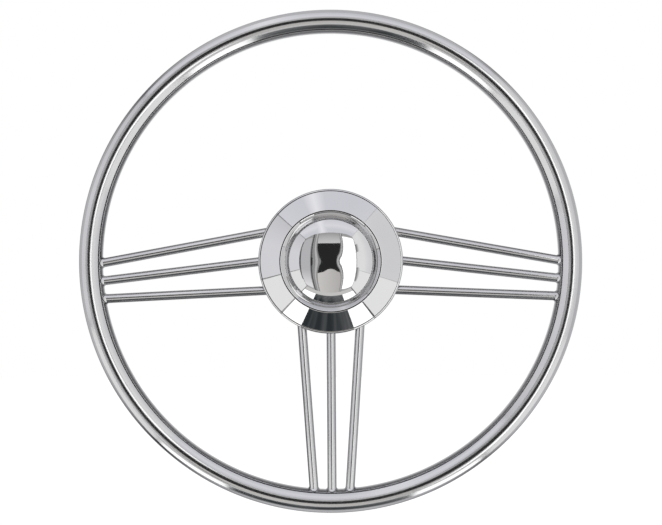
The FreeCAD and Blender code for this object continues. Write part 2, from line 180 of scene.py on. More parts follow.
class CapSizes(bpy.types.PropertyGroup):
    sheet: length_setting("Sheet", "Thickness of the cap's sheet", 0.0012)
    crown_radius: length_setting(
        "Crown Radius", "Distance from the axis where the crown goes over into the shoulder", 0.025
    )
    crown_end_slope: angle_setting(
        "Crown End Slope", "Slope where the crown goes over into the shoulder", 12.3
    )
    ripple_radius: length_setting(
        "Ripple Radius",
        "Distance from the axis where the crown's slight ripple turns from fuller to flatter",
        0.0096,
    )
    ripple_slope: angle_setting(
        "Ripple Slope", "How much the crown's ripple adds to its slope or takes from it", 1.25
    )
    shoulder_round: length_setting("Shoulder Radius", "Radius of the dome's shoulder", 0.0334)
    side_slope: angle_setting("Side Slope", "Slope of the dome's side", 27.3)
    edge_round: length_setting("Edge Radius", "Radius of the dome's outer edge", 0.0003)
    skirt_clearance: length_setting("Skirt Clearance", "Gap between the skirt and the cup", 0.0002)
    skirt_wall: length_setting("Skirt Wall", "Thickness of the skirt", 0.004)
    ring_section: length_setting("Ring Section", "Diameter of the rubber ring's section", 0.0018)
    groove_side: length_setting(
        "Groove Side Clearance", "Gap between the rubber ring and each side of its groove", 0.00015
    )
    groove_floor: length_setting(
        "Groove Floor Clearance", "Gap between the rubber ring and the floor of its groove", 0.00002
    )


class SteelColours(bpy.types.PropertyGroup):
    polished: colour_setting(
        "Polished Steel", "Colour of the hub's mirror-polished steel", (0.74, 0.74, 0.745)
    )
    buffed: colour_setting(
        "Buffed Steel", "Colour of the buffed steel of the rim and the rods", (0.69, 0.69, 0.695)
    )
    turned: colour_setting(
        "Turned Steel", "Colour of the turned steel at the back of the hub", (0.62, 0.62, 0.63)
    )
    rubber: colour_setting("Rubber", "Colour of the cap's ring", (0.025, 0.025, 0.027))


class StudioSizes(bpy.types.PropertyGroup):
    camera_distance: length_setting(
        "Camera Distance", "Distance of the camera from the plane of the rim", 1.10
    )
    focal_pixels: FloatProperty(
        name="Focal Length in Pixels",
        description="Focal length of the view, in pixels of the photograph's frame",
        default=1380.6,
    )
    tent_right: length_setting(
        "Tent Right", "Distance of the light tent's right wall from the wheel's axis", 0.44
    )
    tent_left: length_setting(
        "Tent Left", "Distance of the light tent's left wall from the wheel's axis", 0.55
    )
    tent_top: length_setting("Tent Top", "Height of the light tent's top above the wheel's axis", 0.50)
    tent_bottom: length_setting(
        "Tent Bottom", "Depth of the light tent's floor below the wheel's axis", 0.58
    )
    tent_front: length_setting(
        "Tent Front", "Distance from the hub's rear face to the light tent's front wall", 1.20
    )
    tent_back: length_setting(
        "Tent Back",
        "Distance from the hub's rear face to where the light tent ends behind the wheel",
        1.20,
    )
    # The band is painted shade on the tent's walls, dark for rays from far off
    band_start: length_setting(
        "Band Start", "How far ahead of the hub's rear face the dark band round the tent begins", 0.2
    )
    band_end: length_setting(
        "Band End", "How far behind the hub's rear face the dark band round the tent ends", 0.14
    )


# Outlines: rows of radius and forward, joined point by point

def arc(centre, radius, from_slope, to_slope, steps):
    """Points of an arc between two slopes measured from a plane square to the axis."""
    points = []
    for step in range(steps + 1):
        slope = from_slope + (to_slope - from_slope) * step / steps
        points.append((centre[0] + radius * math.sin(slope), centre[1] + radius * math.cos(slope)))
    return points


def rounded(corners, radii, steps):
    """Points through corners, each inner corner rounded to its radius."""
    points = [corners[0]]
    for before, corner, after, radius in zip(corners, corners[1:], corners[2:], radii):
        middle = Vector(corner)
        back = (Vector(before) - middle).normalized()
        ahead = (Vector(after) - middle).normalized()
        half_angle = back.angle(ahead) / 2
        bisector = (back + ahead).normalized()
        centre = middle + bisector * (radius / math.sin(half_angle))
        sweep = math.pi - 2 * half_angle
        start = middle + back * (radius / math.tan(half_angle)) - centre
        end = middle + ahead * (radius / math.tan(half_angle)) - centre
        for step in range(steps + 1):
            share = step / steps
            spoke_from = math.sin((1 - share) * sweep) / math.sin(sweep)
            spoke_to = math.sin(share * sweep) / math.sin(sweep)
            place = centre + start * spoke_from + end * spoke_to
            points.append((place.x, place.y))
    points.append(corners[-1])
    return points


def behind(points, thickness):
    """The corners of a sheet's back, where the points are those of its front from inside to outside."""
    steps = [(Vector(b) - Vector(a)).normalized() for a, b in zip(points, points[1:])]
    squares = [Vector((step.y, -step.x)) * thickness for step in steps]
    backs = [Vector(points[0]) + squares[0]]
    for corner, before, after in zip(points[1:], squares, squares[1:]):
        reach = thickness ** 2 / (thickness ** 2 + before.dot(after))
        backs.append(Vector(corner) + (before + after) * reach)
    backs.append(Vector(points[-1]) + squares[-1])
    return [(back.x, back.y) for back in backs]


def held(points):
    """The same outline with a holding point close to each end of every long straight stretch."""
    kept = [points[0]]
    for start, end in zip(points, points[1:]):
        run = Vector(end) - Vector(start)
        if run.length > 4 * HOLDING_DISTANCE:
            near = Vector(start) + run.normalized() * HOLDING_DISTANCE
            far = Vector(end) - run.normalized() * HOLDING_DISTANCE
            kept.append((near.x, near.y))
            kept.append((far.x, far.y))
        kept.append(end)
    return kept


# Modelling helpers

def deselect_all():
    for piece in list(bpy.context.selected_objects):
        piece.select_set(False)


def in_edit_mode():
    bpy.ops.object.mode_set(mode="EDIT")
    bpy.ops.mesh.select_all(action="SELECT")


def close_up():
    """Merges doubled points, turns the faces outwards and shades the piece."""
    bpy.ops.mesh.select_all(action="SELECT")
    bpy.ops.mesh.remove_doubles(threshold=MERGE_DISTANCE)
    bpy.ops.mesh.normals_make_consistent(inside=False)
    bpy.ops.object.mode_set(mode="OBJECT")
    bpy.ops.object.shade_smooth_by_angle(angle=SMOOTH_ANGLE)


def lathe(name, outline, steps):
    """Draws an outline by extruding one point along it, and spins it about the wheel's axis."""
    places = [Vector((radius, -forward, 0)) for radius, forward in held(outline)]
    deselect_all()
    bpy.ops.mesh.primitive_plane_add(size=PIN_SIZE)
    piece = bpy.context.object
    piece.name = name
    in_edit_mode()
    bpy.ops.mesh.merge(type="CENTER")
    bpy.ops.transform.translate(value=places[0])
    for start, end in zip(places, places[1:]):
        bpy.ops.mesh.extrude_region_move(TRANSFORM_OT_translate={"value": end - start})
    bpy.ops.mesh.select_all(action="SELECT")
    bpy.ops.mesh.spin(steps=steps, angle=FULL_TURN, center=ORIGIN, axis=WHEEL_AXIS)
    close_up()
    return piece


def dress(piece, node, material, body):
    """Gives a piece its material, and lets it stand for its node and ride on its body."""
    piece.data.materials.clear()
    piece.data.materials.append(material)
    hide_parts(node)
    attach(piece, body)


# Shader nodes

class NodeRow:
    """Adds shader nodes to a tree and joins them."""

    def __init__(self, tree):
        self.tree = tree

    def add(self, kind, **settings):
        node = self.tree.nodes.new(kind)
        for key, value in settings.items():
            setattr(node, key, value)
        return node

    def join(self, source, target):
        self.tree.links.new(source, target)

    def feed(self, source, target):
        """Sets a socket to a number, or joins another socket to it."""
        if isinstance(source, (int, float)):
            target.default_value = source
        else:
            self.join(source, target)

    def math(self, operation, first, second=None):
        node = self.add("ShaderNodeMath", operation=operation)
        self.feed(first, node.inputs[0])
        if second is not None:
            self.feed(second, node.inputs[1])
        return node.outputs[0]

    def noise(self, vector, scale, detail=3.0):
        node = self.add("ShaderNodeTexNoise")
        node.inputs["Detail"].default_value = detail
        self.feed(scale, node.inputs["Scale"])
        self.join(vector, node.inputs["Vector"])
        return node.outputs["Fac"]

    def span(self, value, low, high, to_low=0.0, to_high=1.0):
        node = self.add("ShaderNodeMapRange", clamp=True)
        self.join(value, node.inputs["Value"])
        ends = (("From Min", low), ("From Max", high), ("To Min", to_low), ("To Max", to_high))
        for key, number in ends:
            self.feed(number, node.inputs[key])
        return node.outputs["Result"]

    def split(self, place):
        """The X, Y and Z of a place."""
        node = self.add("ShaderNodeSeparateXYZ")
        self.join(place, node.inputs[0])
        return node.outputs

    def bump(self, height, depth, under=None):
        """The normals of a bump, on top of another bump where one is given."""
        node = self.add("ShaderNodeBump")
        node.inputs["Distance"].default_value = depth
        self.join(height, node.inputs["Height"])
        if under is not None:
            self.join(under, node.inputs["Normal"])
        return node.outputs["Normal"]

    def group(self, tree, given):
        """What a group gives for the inputs that are set or joined here."""
        node = self.add("ShaderNodeGroup", node_tree=tree)
        for key, source in given.items():
            self.feed(source, node.inputs[key])
        return node.outputs


def new_group(name, inputs, outputs):
    """An empty node group with named sockets: a row of nodes, its input node and its output node."""
    tree = bpy.data.node_groups.new(name, "ShaderNodeTree")
    for label, kind, default in inputs:
        socket = tree.interface.new_socket(label, in_out="INPUT", socket_type=kind)
        if default is not None:
            socket.default_value = default
    for label, kind in outputs:
        tree.interface.new_socket(label, in_out="OUTPUT", socket_type=kind)
    row = NodeRow(tree)
    return row, row.add("NodeGroupInput"), row.add("NodeGroupOutput")


# How the patterns on metal and rubber are drawn
LINES_DETAIL = 4.0
LINES_START = 0.8
LINES_START_FALL = 0.5
LINES_FADE = 0.18
SMUDGE_DETAIL = 5.0
SMUDGE_START = 0.42
SMUDGE_FULL = 0.72
UNEVEN_DETAIL = 1.0
ROUND_THE_ROD = 0.12
RUBBER_SMUDGES = 220.0
RUBBER_DUST = 2.2
RUBBER_ROUGHNESS = (0.5, 0.68)
RUBBER_GRAIN = 3200.0
RUBBER_GRAIN_DEPTH = 0.00003

# Finishes of the steel
MIRROR_FINISH = {
    "along": 0.002,
    "lines": 4000.0,
    "coverage": 0.3,
    "smudge_scale": 24.0,
    "uneven_scale": 38.0,
    "tint": 0.975,
    "roughness": 0.03,
    "line_roughness": 0.02,
    "smudge_roughness": 0.015,
    "uneven_depth": 0.00002,
    "line_depth": 0.0000002,
}
BUFFED_FINISH = {
    **MIRROR_FINISH,
    "coverage": 0.4,
    "tint": 0.95,
    "roughness": 0.11,
    "line_roughness": 0.05,
    "smudge_roughness": 0.03,
    "line_depth": 0.0000003,
}
TURNED_FINISH = {
    "along": 0.0006,
    "lines": 2600.0,
    "coverage": 0.75,
    "smudge_scale": 40.0,
    "uneven_scale": 60.0,
    "tint": 0.88,
    "roughness": 0.24,
    "line_roughness": 0.14,
    "smudge_roughness": 0.06,
    "uneven_depth": 0.00001,
    "line_depth": 0.000006,
}


def around_axis_group():
    """Object coordinates turned into distance from the wheel's axis, angle and depth."""
    row, given, result = new_group(
        "Around the Axis",
        [("Place", "NodeSocketVector", None)],
        [("Radius", "NodeSocketFloat"), ("Angle", "NodeSocketFloat"), ("Depth", "NodeSocketFloat")],
    )
    x, y, z = row.split(given.outputs["Place"])
    square = row.math("ADD", row.math("MULTIPLY", x, x), row.math("MULTIPLY", z, z))
    row.join(row.math("SQRT", square), result.inputs["Radius"])
    row.join(row.math("ARCTAN2", z, x), result.inputs["Angle"])
    row.join(y, result.inputs["Depth"])
    return row.tree


def fine_lines_group():
    """Fine lines left by polishing or turning, long along the work's path and narrow across it."""
    row, given, result = new_group(
        "Fine Lines",
        [
            ("Across", "NodeSocketVector", None),
            ("Lines per Metre", "NodeSocketFloat", 2500.0),
            ("Coverage", "NodeSocketFloat", 0.4),
        ],
        [("Mask", "NodeSocketFloat")],
    )
    lines = row.noise(given.outputs["Across"], given.outputs["Lines per Metre"], LINES_DETAIL)
    fall = row.math("MULTIPLY", given.outputs["Coverage"], LINES_START_FALL)
    edge = row.math("SUBTRACT", LINES_START, fall)
    row.join(row.span(lines, edge, row.math("ADD", edge, LINES_FADE)), result.inputs["Mask"])
    return row.tree


def smudges_group():
    """Soft clouded patches, as handling and wiping leave on bright metal."""
    row, given, result = new_group(
        "Smudges",
        [("Place", "NodeSocketVector", None), ("Scale", "NodeSocketFloat", 30.0)],
        [("Mask", "NodeSocketFloat")],
    )
    cloud = row.noise(given.outputs["Place"], given.outputs["Scale"], SMUDGE_DETAIL)
    row.join(row.span(cloud, SMUDGE_START, SMUDGE_FULL), result.inputs["Mask"])
    return row.tree


def uneven_surface_group():
    """The slight unevenness of hand-polished metal, as a height."""
    row, given, result = new_group(
        "Uneven Surface",
        [("Place", "NodeSocketVector", None), ("Scale", "NodeSocketFloat", 45.0)],
        [("Height", "NodeSocketFloat")],
    )
    height = row.noise(given.outputs["Place"], given.outputs["Scale"], UNEVEN_DETAIL)
    row.join(height, result.inputs["Height"])
    return row.tree


def bare_material(name):
    """A material without nodes, and its row of nodes to come."""
    material = bpy.data.materials.new(name)
    material.use_nodes = True
    material.node_tree.nodes.clear()
    return material, NodeRow(material.node_tree)


def new_material(name):
    """A material with its row of nodes, its surface shader and its Object coordinates."""
    material, row = bare_material(name)
    surface = row.add("ShaderNodeBsdfPrincipled")
    output = row.add("ShaderNodeOutputMaterial")
    place = row.add("ShaderNodeTexCoord").outputs["Object"]
    row.join(surface.outputs["BSDF"], output.inputs["Surface"])
    return material, row, surface, place


def mixed_colour(row, mask, clear, worked):
    """One colour where the mask is nought, and the other where it is one."""
    node = row.add("ShaderNodeMix", data_type="RGBA")
    row.join(mask, node.inputs["Factor"])
    node.inputs["A"].default_value = (*clear, 1)
    node.inputs["B"].default_value = (*worked, 1)
    return next(socket for socket in node.outputs if socket.type == "RGBA")


def polar_place(row, groups, place, around):
    """Coordinates that stretch a pattern round the wheel, by a share of the angle."""
    polar = row.group(groups["around_axis"], {"Place": place})
    joined = row.add("ShaderNodeCombineXYZ")
    row.join(polar["Radius"], joined.inputs["X"])
    row.join(row.math("MULTIPLY", polar["Angle"], around), joined.inputs["Y"])
    row.join(polar["Depth"], joined.inputs["Z"])
    return joined.outputs[0]


def steel_material(name, groups, colour, finish, lines_place=None):
    """Bare steel from mirror polish to turned work, as the finish says."""
    material, row, surface, place = new_material(name)
    surface.inputs["Metallic"].default_value = 1.0
    if lines_place is None:
        across = polar_place(row, groups, place, finish["along"])
    else:
        across = lines_place(row, place)
    drawn = {"Across": across, "Lines per Metre": finish["lines"], "Coverage": finish["coverage"]}
    lines = row.group(groups["fine_lines"], drawn)["Mask"]
    smudges = row.group(groups["smudges"], {"Place": place, "Scale": finish["smudge_scale"]})["Mask"]
    uneven = row.group(groups["uneven_surface"], {"Place": place, "Scale": finish["uneven_scale"]})
    darker = tuple(channel * finish["tint"] for channel in colour)
    row.join(mixed_colour(row, smudges, colour, darker), surface.inputs["Base Color"])
    rough = row.math("MULTIPLY", lines, finish["line_roughness"])
    rough = row.math("ADD", rough, row.math("MULTIPLY", smudges, finish["smudge_roughness"]))
    row.join(row.math("ADD", rough, finish["roughness"]), surface.inputs["Roughness"])
    uneven_bump = row.bump(uneven["Height"], finish["uneven_depth"])
    row.join(row.bump(lines, finish["line_depth"], uneven_bump), surface.inputs["Normal"])
    return material


def rubber_material(name, groups, colour):
    """Matt rubber with dusty patches and a fine grain."""
    material, row, surface, place = new_material(name)
    smudges = row.group(groups["smudges"], {"Place": place, "Scale": RUBBER_SMUDGES})["Mask"]
    dusty = tuple(min(1.0, channel * RUBBER_DUST) for channel in colour)
    row.join(mixed_colour(row, smudges, colour, dusty), surface.inputs["Base Color"])
    row.join(row.span(smudges, 0.0, 1.0, *RUBBER_ROUGHNESS), surface.inputs["Roughness"])
    grain = row.noise(place, RUBBER_GRAIN)
    row.join(row.bump(grain, RUBBER_GRAIN_DEPTH), surface.inputs["Normal"])
    return material


def along_rod(direction):
    """Makes the placing of polishing lines that run round a rod of this direction."""
    def placed(row, place):
        turned = row.add("ShaderNodeMapping", vector_type="TEXTURE")
        turned.inputs["Rotation"].default_value = direction.to_track_quat("X", "Z").to_euler()
        row.join(place, turned.inputs["Vector"])
        squeezed = row.add("ShaderNodeMapping")
        squeezed.inputs["Scale"].default_value = (1.0, ROUND_THE_ROD, ROUND_THE_ROD)
        row.join(turned.outputs["Vector"], squeezed.inputs["Vector"])
        return squeezed.outputs["Vector"]
    return placed


def groups_in_use():
    """The shader groups, built once."""
    makers = {
        "around_axis": around_axis_group,
        "fine_lines": fine_lines_group,
        "smudges": smudges_group,
        "uneven_surface": uneven_surface_group,
    }
    return {key: maker() for key, maker in makers.items()}


GROUPS = {}


# Rim

def rim_section(sizes):
    """The oval's half widths, its cant, and its centre's distance from the axis and forward."""
    long_half = sizes.tube_long / 2
    short_half = sizes.tube_short / 2
    cant = sizes.tube_cant
    half_width = math.hypot(long_half * math.cos(cant), short_half * math.sin(cant))
    return long_half, short_half, cant, RIM_HIGH.x - half_width, -(RIM_LOW.y + RIM_HIGH.y) / 2


def rim_inside_radius(sizes):
    long_half, short_half, cant, centre, _ = rim_section(sizes)
    return centre - math.hypot(long_half * math.cos(cant), short_half * math.sin(cant))


class WHEEL_OT_rim(bpy.types.Operator):
    """Spins the rim's oval tube"""
    bl_idname = "steering_wheel.rim"
    bl_label = "Rim"

    def execute(self, context):
        sizes = context.scene.wheel_rim
        long_half, short_half, cant, centre, forward = rim_section(sizes)
        deselect_all()
        bpy.ops.mesh.primitive_circle_add(vertices=sizes.section_sides, radius=1)
        piece = context.object
        piece.name = "rim"
        in_edit_mode()
        bpy.ops.transform.resize(value=(long_half, short_half, 1), center_override=ORIGIN)
        bpy.ops.transform.rotate(value=cant, orient_axis="Z", center_override=ORIGIN)
        bpy.ops.transform.translate(value=(centre, -forward, 0))
        bpy.ops.mesh.spin(steps=sizes.turn_steps, angle=FULL_TURN, center=ORIGIN, axis=WHEEL_AXIS)
        close_up()
        colour = context.scene.wheel_steel.buffed
        material = steel_material("Buffed Rim Steel", GROUPS, colour, BUFFED_FINISH)
        dress(piece, "rim_tube", material, "wheel")
        return {"FINISHED"}


# Spokes

WELD_RINGS = 8
ROD_END_BEVEL = 0.0004


def spoke_lines(sizes, rim_inside):
    """Each rod's node, with two points of its centreline as seen from the front."""
    cover_radius = COVER_HIGH.x
    hub_reach = math.sqrt(cover_radius ** 2 - sizes.spread_at_hub ** 2)
    lines = {}
    for side, sign in (("left", -1), ("right", 1)):
        for place, step in (("upper", 1), ("middle", 0), ("lower", -1)):
            reach = cover_radius if step == 0 else hub_reach
            rim_height = step * sizes.side_pitch - sizes.side_drop
            rim_reach = math.sqrt(rim_inside ** 2 - rim_height ** 2)
            hub_point = Vector((sign * reach, step * sizes.spread_at_hub))
            lines["spoke_" + side + "_" + place] = (hub_point, Vector((sign * rim_reach, rim_height)))
    for place, step in (("left", -1), ("middle", 0), ("right", 1)):
        reach = cover_radius if step == 0 else hub_reach
        rim_side = step * sizes.bottom_pitch
        rim_reach = math.sqrt(rim_inside ** 2 - rim_side ** 2)
        hub_point = Vector((step * sizes.spread_at_hub, -reach))
        lines["spoke_bottom_" + place] = (hub_point, Vector((rim_side, -rim_reach)))
    return lines


def place_at_radius(line, radius):
    """Where a rod's line, as seen from the front, lies at a distance from the axis."""
    hub_point, rim_point = line
    step = rim_point - hub_point
    half = hub_point.dot(step)
    rest = hub_point.length_squared - radius ** 2
    along = (-half + math.sqrt(half ** 2 - step.length_squared * rest)) / step.length_squared
    return hub_point + step * along


def spoke_end(sizes, line, radius):
    """The middle of a rod's end at a distance from the axis."""
    place = place_at_radius(line, radius)
    forward = -PLATE_LOW.y + (radius - PLATE_HIGH.x) * math.tan(sizes.rise_angle)
    return Vector((place.x, -forward, place.y))


def inside_tube(sizes, place):
    """Below zero inside the rim's oval tube, above zero outside it."""
    long_half, short_half, cant, centre, forward = rim_section(sizes)
    outwards = math.hypot(place.x, place.z) - centre
    forwards = -place.y - forward
    along = outwards * math.cos(cant) + forwards * math.sin(cant)
    across = forwards * math.cos(cant) - outwards * math.sin(cant)
    return (along / long_half) ** 2 + (across / short_half) ** 2 - 1


def reach_to_rim(sizes, start, direction, low, high):
    """How far from a place, in a direction, the rim's tube begins."""
    for _ in range(REACH_HALVINGS):
        middle = (low + high) / 2
        if inside_tube(sizes, start + direction * middle) > 0:
            low = middle
        else:
            high = middle
    return high


def build_rod(name, rim, sizes, line):
    """Extrudes a rod from its bevelled inner end to the rim, with a hollow fillet for the weld."""
    radius = sizes.diameter / 2
    fillet = sizes.weld_fillet
    inner = spoke_end(sizes, line, sizes.inner_end_radius)
    outer = spoke_end(sizes, line, rim_inside_radius(rim))
    direction = (outer - inner).normalized()
    length = (outer - inner).length
    deselect_all()
    bpy.ops.mesh.primitive_circle_add(
        vertices=sizes.sides,
        radius=radius - ROD_END_BEVEL,
        fill_type="NGON",
        location=inner,
        rotation=direction.to_track_quat("Z", "Y").to_euler(),
    )
    bpy.ops.object.transform_apply(location=True, rotation=True, scale=True)
    piece = bpy.context.object
    piece.name = name
    in_edit_mode()
    growth = radius / (radius - ROD_END_BEVEL)
    bevelled = inner + direction * ROD_END_BEVEL
    bpy.ops.mesh.extrude_region_move(TRANSFORM_OT_translate={"value": bevelled - inner})
    bpy.ops.transform.resize(value=(growth,) * 3, center_override=bevelled)
    bpy.ops.mesh.extrude_region_move(TRANSFORM_OT_translate={"value": direction * HOLDING_DISTANCE})
    run = length - ROD_END_BEVEL - HOLDING_DISTANCE - fillet - 2 * sizes.diameter
    bpy.ops.mesh.extrude_region_move(TRANSFORM_OT_translate={"value": direction * run})
    for ring in range(-1, WELD_RINGS + 1):
        turn = QUARTER_TURN * max(ring, 0) / WELD_RINGS
        width = radius + fillet * (1 - math.cos(turn))
        setback = fillet * (1 - math.sin(turn)) + (HOLDING_DISTANCE if ring < 0 else 0)
        bpy.ops.mesh.extrude_region_move()
        mesh = bmesh.from_edit_mesh(piece.data)
        for point in mesh.verts:
            if point.select:
                sideways = point.co - inner
                sideways = (sideways - direction * sideways.dot(direction)).normalized()
                foot = inner + sideways * width
                reach = reach_to_rim(
                    rim, foot, direction, length - sizes.diameter, length + sizes.diameter
                )
                point.co = foot + direction * (reach - setback)
        bmesh.update_edit_mesh(piece.data)
    close_up()
    return piece, direction


class WHEEL_OT_spokes(bpy.types.Operator):
    """Builds the nine rods with their welds"""
    bl_idname = "steering_wheel.spokes"
    bl_label = "Spokes"

    def execute(self, context):
        rim = context.scene.wheel_rim
        sizes = context.scene.wheel_spokes
        colour = context.scene.wheel_steel.buffed
        for node, line in spoke_lines(sizes, rim_inside_radius(rim)).items():
            piece, direction = build_rod(node.replace("spoke_", "rod_"), rim, sizes, line)
            name = "Buffed Rod Steel " + node.replace("spoke_", "").replace("_", " ").title()
            material = steel_material(name, GROUPS, colour, BUFFED_FINISH, along_rod(direction))
            dress(piece, node, material, "wheel")
        return {"FINISHED"}


# Hub cover

SPOKE_GAP = 0.0003
SHARPEST_BEND = 0.0002


def cover_edge_back():
    """How far forward the cover's edge ends, just ahead of the highest rod that passes under it."""
    sizes = bpy.context.scene.wheel_spokes
    inside = rim_inside_radius(bpy.context.scene.wheel_rim)
    crests = []
    for line in spoke_lines(sizes, inside).values():
        inner = spoke_end(sizes, line, sizes.inner_end_radius)
        outer = spoke_end(sizes, line, inside)
        place = place_at_radius(line, COVER_HIGH.x)
        seen_length = math.dist((outer.x, outer.z), (inner.x, inner.z))
        passed = math.dist((place.x, place.y), (inner.x, inner.z)) / seen_length
        middle = inner + (outer - inner) * passed
        crests.append(-middle.y + sizes.diameter / 2 / math.cos(sizes.rise_angle))
    return max(crests) + SPOKE_GAP


def ledge_forward(sizes):
    """How far forward the ledge round the cup lies."""
    return -COVER_HIGH.y + sizes.sheet + sizes.cup_depth


class WHEEL_OT_cover(bpy.types.Operator):
    """Spins the pressed hub cover"""
    bl_idname = "steering_wheel.cover"
    bl_label = "Hub Cover"

    def execute(self, context):
        sizes = context.scene.wheel_cover
        radius = COVER_HIGH.x
        floor = -COVER_HIGH.y + sizes.sheet
        ledge = ledge_forward(sizes)
        ridge_inside = sizes.ridge_radius - sizes.ridge_land / 2
        ridge = ledge + (ridge_inside - sizes.valley_radius) * math.tan(sizes.valley_angle)
        edge_back = cover_edge_back()
        edge_front = edge_back + sizes.edge_height
        front = [
            (sizes.hole_radius, floor),
            (sizes.cup_radius, floor),
            (sizes.cup_radius, ledge),
            (sizes.valley_radius, ledge),
            (ridge_inside, ridge),
            (sizes.ridge_radius + sizes.ridge_land / 2, ridge),
            (radius - sizes.edge_roll - sizes.edge_land, edge_front),
            (radius, edge_front),
            (radius, edge_back),
        ]
        front_rounds = [
            sizes.cup_round,
            sizes.mouth_round,
            sizes.foot_round,
            sizes.ridge_round,
            sizes.ridge_round,
            sizes.crease_round,
            sizes.edge_roll,
        ]
        bends_away = [False, True, False, True, True, False, True]
        back_rounds = []
        for front_round, away in zip(front_rounds, bends_away):
            back_round = front_round - sizes.sheet if away else front_round + sizes.sheet
            back_rounds.append(max(back_round, SHARPEST_BEND))
        back = behind(front, sizes.sheet)
        outline = rounded(front, front_rounds, BEND_STEPS) + rounded(back, back_rounds, BEND_STEPS)[::-1]
        piece = lathe("cover", outline + outline[:1], HUB_STEPS)
        colour = context.scene.wheel_steel.polished
        material = steel_material("Polished Cover Steel", GROUPS, colour, MIRROR_FINISH)
        dress(piece, "hub_cover", material, "wheel")
        return {"FINISHED"}


# Centre cap and its ring

def dome_slope(sizes, radius):
    """The dome's slope at a distance from the axis: a slightly rippled crown, then the shoulder."""
    past_crown = radius - sizes.crown_radius
    if past_crown >= 0:
        return math.asin(math.sin(sizes.crown_end_slope) + past_crown / sizes.shoulder_round)
    if radius < sizes.ripple_radius:
        ripple = math.sin(math.pi * radius / sizes.ripple_radius)
    else:
        ripple = math.sin(math.pi * past_crown / (sizes.crown_radius - sizes.ripple_radius))
    return sizes.crown_end_slope * radius / sizes.crown_radius + sizes.ripple_slope * ripple


def dome(sizes, inset):
    """Points of the dome from its top to the start of its straight side, set in from the front."""
    shoulder = sizes.shoulder_round * (math.sin(sizes.side_slope) - math.sin(sizes.crown_end_slope))
    step = (sizes.crown_radius + shoulder) / DOME_STEPS
    forward = -CAP_LOW.y
    points = []
    for index in range(DOME_STEPS + 1):
        radius = step * index
        if index:
            forward -= step * math.tan(dome_slope(sizes, radius - step / 2))
        slope = dome_slope(sizes, radius)
        points.append((radius - inset * math.sin(slope), forward - inset * math.cos(slope)))
    return points


class WHEEL_OT_cap(bpy.types.Operator):
    """Spins the centre cap's dome and skirt, and the rubber ring round the skirt"""
    bl_idname = "steering_wheel.cap"
    bl_label = "Centre Cap"

    def execute(self, context):
        cover = context.scene.wheel_cover
        sizes = context.scene.wheel_cap
        ledge = ledge_forward(cover)
        cap_radius = CAP_HIGH.x
        skirt_end = -CAP_HIGH.y
        skirt_radius = cover.cup_radius - sizes.skirt_clearance
        skirt_inside = skirt_radius - sizes.skirt_wall
        ring_forward = -(RING_LOW.y + RING_HIGH.y) / 2
        ring_radius = RING_HIGH.x - sizes.ring_section / 2
        front = dome(sizes, 0)
        back = dome(sizes, sizes.sheet)
        side_end = cap_radius - sizes.edge_round * (1 - math.sin(sizes.side_slope))
        side_fall = (side_end - front[-1][0]) * math.tan(sizes.side_slope)
        edge_forward = front[-1][1] - side_fall - sizes.edge_round * math.cos(sizes.side_slope)
        edge_centre = (cap_radius - sizes.edge_round, edge_forward)
        edge = arc(edge_centre, sizes.edge_round, sizes.side_slope, QUARTER_TURN, BEND_STEPS)
        under_side = back[-1][1] - (skirt_inside - back[-1][0]) * math.tan(sizes.side_slope)
        groove_half = sizes.ring_section / 2 + sizes.groove_side
        groove_floor = ring_radius - sizes.ring_section / 2 - sizes.groove_floor
        skirt = [
            (cap_radius, ledge),
            (skirt_radius, ledge),
            (skirt_radius, ring_forward + groove_half),
            (groove_floor, ring_forward + groove_half),
            (groove_floor, ring_forward - groove_half),
            (skirt_radius, ring_forward - groove_half),
            (skirt_radius, skirt_end),
            (skirt_inside, skirt_end),
            (skirt_inside, under_side),
        ]
        outline = front + edge + skirt + back[::-1]
        piece = lathe("cap", outline, HUB_STEPS)
        colour = context.scene.wheel_steel.polished
        material = steel_material("Polished Cap Steel", GROUPS, colour, MIRROR_FINISH)
        dress(piece, "centre_cap", material, "cap")
        deselect_all()
        bpy.ops.mesh.primitive_torus_add(
            location=(0, -ring_forward, 0),
            rotation=(QUARTER_TURN, 0, 0),
            major_radius=ring_radius,
            minor_radius=sizes.ring_section / 2,
            major_segments=RING_TURN_STEPS,
            minor_segments=RING_SECTION_SIDES,
        )
        bpy.ops.object.transform_apply(location=True, rotation=True, scale=True)
        ring = context.object
        ring.name = "ring"
        bpy.ops.object.shade_smooth_by_angle(angle=SMOOTH_ANGLE)
        rubber = rubber_material("Cap Ring Rubber", GROUPS, context.scene.wheel_steel.rubber)
        dress(ring, "cap_ring", rubber, "cap")
        return {"FINISHED"}


# Boss, plate and screws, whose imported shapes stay

class WHEEL_OT_hub(bpy.types.Operator):
    """Finishes the boss, the plate and the screws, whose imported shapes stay"""
    bl_idname = "steering_wheel.hub"
    bl_label = "Hub Finishes"

    def execute(self, context):
        colour = context.scene.wheel_steel.turned
        finishes = {
            "hub_boss": "Turned Boss Steel",
            "spoke_plate": "Turned Plate Steel",
            "cover_screws": "Screw Steel",
        }
        for node, name in finishes.items():
            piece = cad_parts[node]
            piece.data.materials.clear()
            piece.data.materials.append(steel_material(name, GROUPS, colour, TURNED_FINISH))
        return {"FINISHED"}


# Studio: pale floor, soft light tent and camera

def grey(level):
    return (level, level, level)


# Camera
AXIS_SHIFT_X = 0.0006
AXIS_SHIFT_Y = -0.0018
CAMERA_ROLL = math.radians(0.36)

# Surroundings and floor
AROUND_LIGHT = 0.85
FLOOR_WIDTH = 12
FLOOR_BELOW_TENT = 0.02
FLOOR_GREY = 0.94
FLOOR_ROUGHNESS = 0.9
FLOOR_GLOW = 0.26

